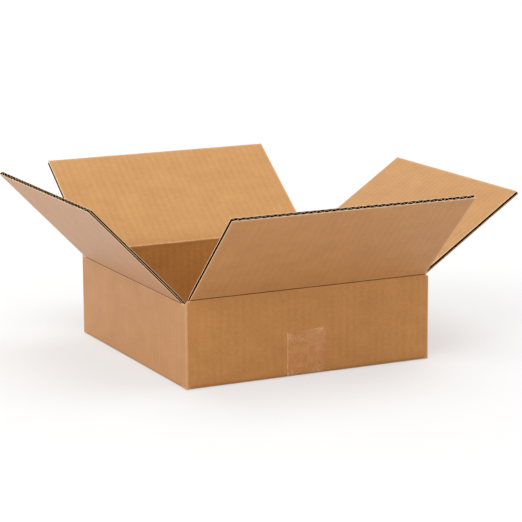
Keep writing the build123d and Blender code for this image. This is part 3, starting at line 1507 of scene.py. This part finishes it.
@dataclass(frozen=True)
class SeamTape:
    """Clear tape along the bottom seam, turned up the front and back walls.

    It stands proud of the walls by a hair. Its tails end in a tear that wanders, and the film
    within the tear's reach is drawn along; more is torn off at the left. Its right side is torn on
    the tails alone, and the side margin says over which distances below a tail's top that dies out.
    It is frosted more along its left side and in a tuft at its ends, and clears towards the right.
    The tuft's place and the reach of left_tear and clearing are shares of the half width.
    """

    front: Side
    half: float
    tail: float
    proud: float
    film: float = 0.05
    end_tear: Mark = Mark(4.5, 18.0)
    end_waves: tuple[Wave, ...] = ((0.3, (9.0, 1.0), Seed.TAPE_END), (0.2, (2.1, 1.0), Seed.TAPE_END_FINE))
    left_tear: Mark = Mark(4.0, 0.3)
    side_tear: float = 1.6
    side_margin: tuple[float, float] = (14.0, 4.0)
    side_waves: tuple[Wave, ...] = ((0.6, (6.0, 1.0), Seed.TAPE_SIDE), (0.4, (1.6, 1.0), Seed.TAPE_SIDE_FINE))
    crinkle: float = 0.02
    crinkle_swing: float = 0.3
    ridges: tuple[Wave, ...] = ((1.0, (3.1, 1.3), Seed.TAPE_RIDGE), (0.6, (1.7, 0.8), Seed.TAPE_RIDGE_FINE))
    frosting: float = 0.42
    air: Wave = (0.16, (7.0, 3.4), Seed.TAPE_AIR)
    left_line: Mark = Mark(0.5, 0.9)
    tuft: Mark = Mark(0.35, 8.0)
    tuft_height: Mark = Mark(1.0, 5.0)
    tuft_place: float = 0.45
    clearing: Mark = Mark(0.3, 0.3)
    counts: tuple[int, ...] = (84, 8, 70, 8, 84)
    columns: int = 91

    @property
    def section(self) -> Section:
        """The film's path, from the front tail's end, under the box, to the back tail's end."""
        radius = self.front.fold[0]
        reach, upright, arc = self.front.reach + self.proud, self.tail - radius, radius * math.pi / 2
        runs = ((upright, 0.0), (arc, -90.0), (2 * (reach - radius), 0.0), (arc, -90.0), (upright, 0.0))
        return Section((reach, self.tail), -90.0, runs)

    def frosted(self, across: Grid, distance: Grid, to_end: Grid) -> Grid:
        """Work out how frosted the film is.

        Air wanders under it, most in a line along its left side and in a tuft at its ends, and
        least at its right.

        Args:
            across: Places across the film.
            distance: Places along it.
            to_end: How far they are from the nearer end.

        Returns:
            The frosting, from 0 to 1.
        """
        tuft = self.tuft.bell(across - self.tuft_place * self.half) * self.tuft_height.bell(to_end)
        frosted = self.frosting + uneven(across, distance, self.air) + tuft
        frosted = frosted + self.left_line.fading(across + self.half)
        clear = self.clearing.strength * eased(across, self.clearing.reach * self.half, self.half)
        return np.clip(frosted - clear, 0, 1)

    def build(self, finish: bpy.types.Material) -> bpy.types.Object:
        """Build the film, crinkled, with torn ends, in place of the CAD tape.

        A torn end wanders by uneven heights of two cell sizes, and the right side wanders on the
        tails alone.

        Args:
            finish: The film's material.

        Returns:
            The piece.
        """
        section, half = self.section, self.half
        rows = rows_between((0, *section.marks), self.counts)
        share, distance = np.meshgrid(np.linspace(0, 1, self.columns), rows)
        to_end = np.minimum(distance, section.length - distance)
        on_tail = 1 - eased(to_end, *(self.tail - margin for margin in self.side_margin))
        side = (1 + uneven(distance, 0 * distance, *self.side_waves)) / 2
        across = -half + (2 * half - self.side_tear * on_tail * side) * share
        torn = 0.5 + uneven(across, distance > section.marks[1], *self.end_waves)
        left = self.left_tear.strength * (1 - eased(across, -half, self.left_tear.reach * half))
        shift = (self.end_tear.strength * torn + left) * (1 - eased(to_end, 0, self.end_tear.reach))
        distance = distance + np.where(distance < section.length / 2, shift, -shift)
        depth = self.crinkle * (0.5 - self.crinkle_swing * uneven(across, distance, *self.ridges))
        depths = (depth, depth + self.film)
        wear = np.stack([0 * across, self.frosted(across, distance, to_end), 0 * across], -1)
        sheet = Sheet(section, self.front.outward, UP, self.front.across)
        mesh = PieceMesh()
        mesh.add(
            tuple(sheet.points(distance, across, each) for each in depths),
            tuple(np.stack([across, self.tail - distance, each], -1) for each in depths),
            wear,
            (Surface.OUTSIDE, Surface.OUTSIDE, Surface.OUTSIDE),
        )
        piece = mesh.build("seam_tape", [finish])
        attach(piece, "box")
        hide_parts("bottom_tape")
        return piece


class Carton:
    """The whole box: its sides, corner folds, glue tab and tape."""

    outer_dark: Colour = (0.385, 0.158, 0.04, 1)
    outer_light: Colour = (0.545, 0.253, 0.076, 1)
    inner_dark: Colour = (0.36, 0.163, 0.042, 1)
    inner_light: Colour = (0.52, 0.256, 0.076, 1)
    order = {"right": 1, "front": 0, "left": -1, "back": -2}
    folds = (("left", "front", 0.0), ("front", "right", 0.0), ("right", "back", 0.5), ("back", "left", 0.0))

    def __init__(self, frame: dict[str, object]) -> None:
        """Read the sides from the frame's joints, and make the finishes.
        """
        self.plan, self.board = Plan(), Board()
        self.sides = {side.name: side for side in map(self.side, frame["joints"])}
        board_finishes = (
            LinerFinish("board_outside", dark=self.outer_dark, light=self.outer_light),
            # painted light over the flute crests, twice as strong inside
            LinerFinish("board_inside", dark=self.inner_dark, light=self.inner_light, crest=0.2),
            CutFinish(),
            FlutePaintedShadeFinish(),
        )
        self.finishes = [finish.material() for finish in board_finishes]
        self.tape_finish = TapeFinish().material()

    def side(self, joint: dict[str, object]) -> Side:
        """Work out a side from its hinge.

        The flap is closed flat at the hinge's lower limit, which gives its lean. Its box in the
        frame gives its width, and its length from how high its free edge stands.

        Args:
            joint: The hinge's entry in the frame.

        Returns:
            The side.
        """
        across = np.array(joint["axis"], float)
        outward = np.cross(across, UP)
        place = np.array(joint["pos_m"], float) / METRES
        lean = -joint["range_deg"][0] - 90.0
        low, high = (np.array(corner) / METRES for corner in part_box(joint["child"]))
        angle = math.radians(lean)
        length = (high[2] - place[2] - self.board.thickness * math.sin(angle)) / math.cos(angle)
        name = joint["child"].split("_")[0]
        reach = float(abs(place @ outward))
        round_corner = self.plan.corner_radius * (math.pi / 2 - 2)
        return Side(
            plan=self.plan,
            board=self.board,
            name=name,
            across=across,
            outward=outward,
            reach=reach,
            crease=float(place[2]),
            lean=lean,
            flap_half=float(abs((high - low) @ across)) / 2,
            flap_length=float(length),
            middle=self.order[name] * (2 * reach + round_corner),
            climbs=name in ("front", "back"),
        )

    def build(self) -> None:
        """Build every piece in order and report each."""
        sides = self.sides
        parts = [kind(side) for side in sides.values() for kind in (Wall, Score, TopFlap)]
        parts += [CornerFold(sides[before], sides[after], gap) for before, after, gap in self.folds]
        parts += [GlueTab(sides["right"])]
        pieces = [part.build(self.finishes) for part in parts]
        low, high = (np.array(corner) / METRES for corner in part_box("bottom_tape"))
        tape = SeamTape(sides["front"], high[0], high[2], -low[1] - sides["front"].reach)
        pieces.append(tape.build(self.tape_finish))
        for piece in pieces:
            log.info("%s: %d faces", piece.name, len(piece.data.polygons))


# The studio.


@dataclass(frozen=True)
class Lamp:
    """A wide soft lamp, far away in this direction, that looks as wide as its spread in degrees."""

    name: str
    towards: tuple[float, float, float]
    strength: float
    spread: float = 45.0

    def place(self) -> None:
        """Hang the lamp."""
        light = bpy.data.lights.new(self.name, "SUN")
        light.energy = self.strength
        light.angle = math.radians(self.spread)
        lamp = link(self.name, light)
        lamp.rotation_mode = "QUATERNION"
        lamp.rotation_quaternion = Vector(self.towards).to_track_quat("Z", "Y")


@dataclass(frozen=True)
class Studio:
    """Pale floor, soft light and the photograph's camera.

    Places are in metres, and the lens and its sensor in millimetres.

    Attributes:
        aim: The point that the camera looks at.
        roll: How far it is turned about its view, in degrees.
        sky: The strength of the light from all round.
        floor_colour: The floor's colour, which renders white in the open.
        floor_white: How much of the floor's shadows the white background takes away.
    """

    camera_place: tuple[float, float, float] = (-0.95956, -1.99418, 0.54903)
    aim: tuple[float, float, float] = (0.0078, -0.0073, 0.0878)
    roll: float = -0.37
    lens: float = 154.74
    sensor: float = 36.0
    sky: float = 0.78
    lamps: tuple[Lamp, ...] = (
        Lamp("left_lamp", (-0.7, -0.35, 0.6), 1.25),
        Lamp("top_lamp", (0.15, 0.0, 1.0), 1.1),
        Lamp("back_lamp", (-0.35, 0.9, 0.25), 0.22),
    )
    floor_level: float = -0.0006
    floor_half: float = 30.0
    floor_colour: Colour = (0.75, 0.75, 0.75, 1)
    floor_white: float = 0.55
    white: Colour = (1, 1, 1, 1)

    def behind(self, nodes: Nodes) -> Socket:
        """Tell rays that show the background, from the camera, off gloss or through glass, by a 1.

        Args:
            nodes: The nodes of the world or the floor.

        Returns:
            1 for such a ray, 0 for any other.
        """
        rays = nodes.add("LightPath", {}).outputs
        shown = nodes.math("MAXIMUM", rays["Is Camera Ray"], rays["Is Glossy Ray"])
        return nodes.math("MAXIMUM", shown, rays["Is Transmission Ray"])

    def light(self) -> None:
        """Make the world's light, white where it shows, and hang the lamps."""
        world = bpy.data.worlds.new("studio")
        nodes = Nodes(world)
        strength = nodes.math("MULTIPLY_ADD", self.behind(nodes), 1.0 - self.sky, self.sky)
        background = nodes.add("Background", {"Color": self.white, "Strength": strength})
        nodes.add("OutputWorld", {0: background.outputs[0]})
        bpy.context.scene.world = world
        for lamp in self.lamps:
            lamp.place()

    def floor(self) -> None:
        """Make the pale floor, which keeps the box's shadow."""
        half = self.floor_half
        mesh = bpy.data.meshes.new("floor")
        corners = ((-half, -half), (half, -half), (half, half), (-half, half))
        mesh.from_pydata([(x, y, self.floor_level) for x, y in corners], [], [(0, 1, 2, 3)])
        made = bpy.data.materials.new("floor")
        nodes = Nodes(made)
        paper = nodes.add("BsdfDiffuse", {"Color": self.floor_colour})
        white = nodes.add("Emission", {"Color": self.white, "Strength": 1.0})
        share = nodes.math("MULTIPLY", self.behind(nodes), self.floor_white)
        both = nodes.add("MixShader", {0: share, 1: paper.outputs[0], 2: white.outputs[0]})
        nodes.add("OutputMaterial", {0: both.outputs[0]})
        mesh.materials.append(made)
        link("floor", mesh)

    def camera(self) -> None:
        """Place the camera as the photograph's was fitted."""
        data = bpy.data.cameras.new("camera")
        data.lens = self.lens
        data.sensor_width = self.sensor
        camera = link("camera", data)
        place = Vector(self.camera_place)
        turn = Quaternion((0, 0, 1), math.radians(self.roll))
        camera.location = place
        camera.rotation_mode = "QUATERNION"
        camera.rotation_quaternion = (Vector(self.aim) - place).to_track_quat("-Z", "Y") @ turn
        bpy.context.scene.camera = camera


def main() -> None:
    """Load the frame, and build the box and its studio."""
    logging.basicConfig(level=logging.INFO, format="%(message)s")
    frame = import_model()
    Carton(frame).build()
    studio = Studio()
    studio.light()
    studio.floor()
    studio.camera()
    bpy.context.scene.view_settings.view_transform = "Standard"


if __name__ == "__main__":
    main()
